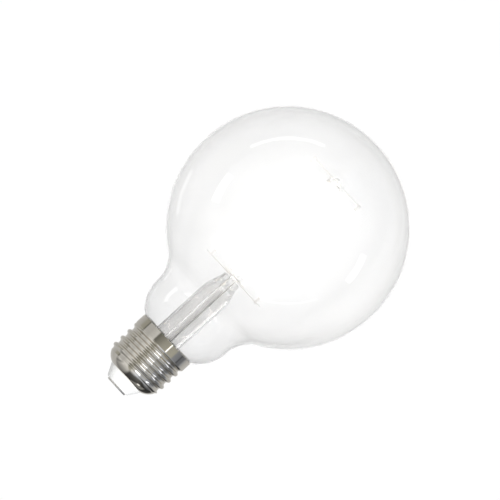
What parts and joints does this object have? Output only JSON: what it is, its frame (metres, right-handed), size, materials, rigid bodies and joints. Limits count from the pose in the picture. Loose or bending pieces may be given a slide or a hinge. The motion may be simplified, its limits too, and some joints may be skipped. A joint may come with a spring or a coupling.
{
  "type": "led filament bulb",
  "caption": "Clear globe light bulb with upright LED filaments on a glass stem, and a nickel-plated screw cap with a white insulator that holds it and feeds it.",
  "frame": {"origin": "middle of the centre contact's flat face, at the bottom of the cap", "axes": "+Z along the lamp's axis from the contact to the crown of the globe; the picture looks along +Y with +X to the right of the upright lamp"},
  "size_m": [0.095, 0.095, 0.1383],
  "materials": {
    "clear_glass": "clear, smooth",
    "stem_glass": "clear, smooth",
    "nickel_plate": "nickel plated, polished",
    "contact_metal": "nickel plated",
    "white_insulator": "moulded, satin",
    "support_wire": "drawn, bright",
    "filament_coating": "phosphor in silicone",
    "filament_tab": "stamped",
    "capping_cement": "matt",
    "circuit_board": "solder mask",
    "chip_package": "moulded, matt",
    "capacitor_can": "drawn can",
    "resistor_body": "lacquered",
    "hookup_wire": "insulated"
  },
  "bodies": {
    "root": {"glass_envelope": "clear_glass", "stem_flare": "stem_glass", "exhaust_tube": "stem_glass", "stem_pillar": "stem_glass", "cap_shell": "nickel_plate", "centre_contact": "contact_metal", "cap_insulator": "white_insulator", "lead_wire_live": "support_wire", "lead_wire_neutral": "support_wire", "branch_wire_live": "support_wire", "branch_wire_neutral": "support_wire", "upper_bridge_wire": "support_wire", "lower_bridge_wire": "support_wire", "filament_1": "filament_coating", "filament_2": "filament_coating", "filament_3": "filament_coating", "filament_4": "filament_coating", "filament_1_lower_tab": "filament_tab", "filament_1_upper_tab": "filament_tab", "filament_2_lower_tab": "filament_tab", "filament_2_upper_tab": "filament_tab", "filament_3_lower_tab": "filament_tab", "filament_3_upper_tab": "filament_tab", "filament_4_lower_tab": "filament_tab", "filament_4_upper_tab": "filament_tab", "capping_cement": "capping_cement", "driver_board": "circuit_board", "bridge_rectifier": "chip_package", "driver_chip": "chip_package", "smoothing_capacitor": "capacitor_can", "fuse_resistor": "resistor_body", "live_wire": "hookup_wire", "neutral_wire": "hookup_wire"}
  },
  "joints": []
}
